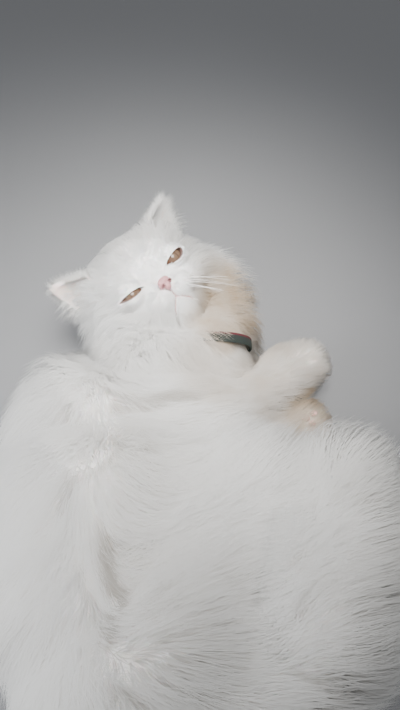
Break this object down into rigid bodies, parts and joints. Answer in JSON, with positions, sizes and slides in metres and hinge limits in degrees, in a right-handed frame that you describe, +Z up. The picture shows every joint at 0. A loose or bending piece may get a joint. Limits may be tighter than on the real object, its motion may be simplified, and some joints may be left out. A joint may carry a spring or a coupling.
{
  "type": "persian cat",
  "caption": "Life-size still model of a white Persian cat curled on its left side, face turned up, with a long coat, ruff, plumed tail and a woven collar.",
  "frame": {"origin": "on the flat under the ribs, on the floor", "axes": "+Z up, +Y from the rump to the head, +X from the back to the belly"},
  "size_m": [0.3271, 0.4892, 0.1527],
  "materials": {
    "coat": "long, soft white coat, matt with a faint silky sheen",
    "ear_skin": "thin pink-cream skin of the ear's cup, matt",
    "eye": "wet, glossy amber-copper eye",
    "nose_skin": "pink nose leather, satin",
    "collar_band": "woven band, dark red with green, matt"
  },
  "bodies": {
    "root": {"head": "coat", "neck": "coat", "torso": "coat", "tail": "coat", "foreleg_right": "coat", "foreleg_left": "coat", "hindleg_right": "coat", "hindleg_left": "coat", "ear_right": "ear_skin", "ear_left": "ear_skin", "eye_right": "eye", "eye_left": "eye", "nose": "nose_skin", "collar": "collar_band"}
  },
  "joints": []
}
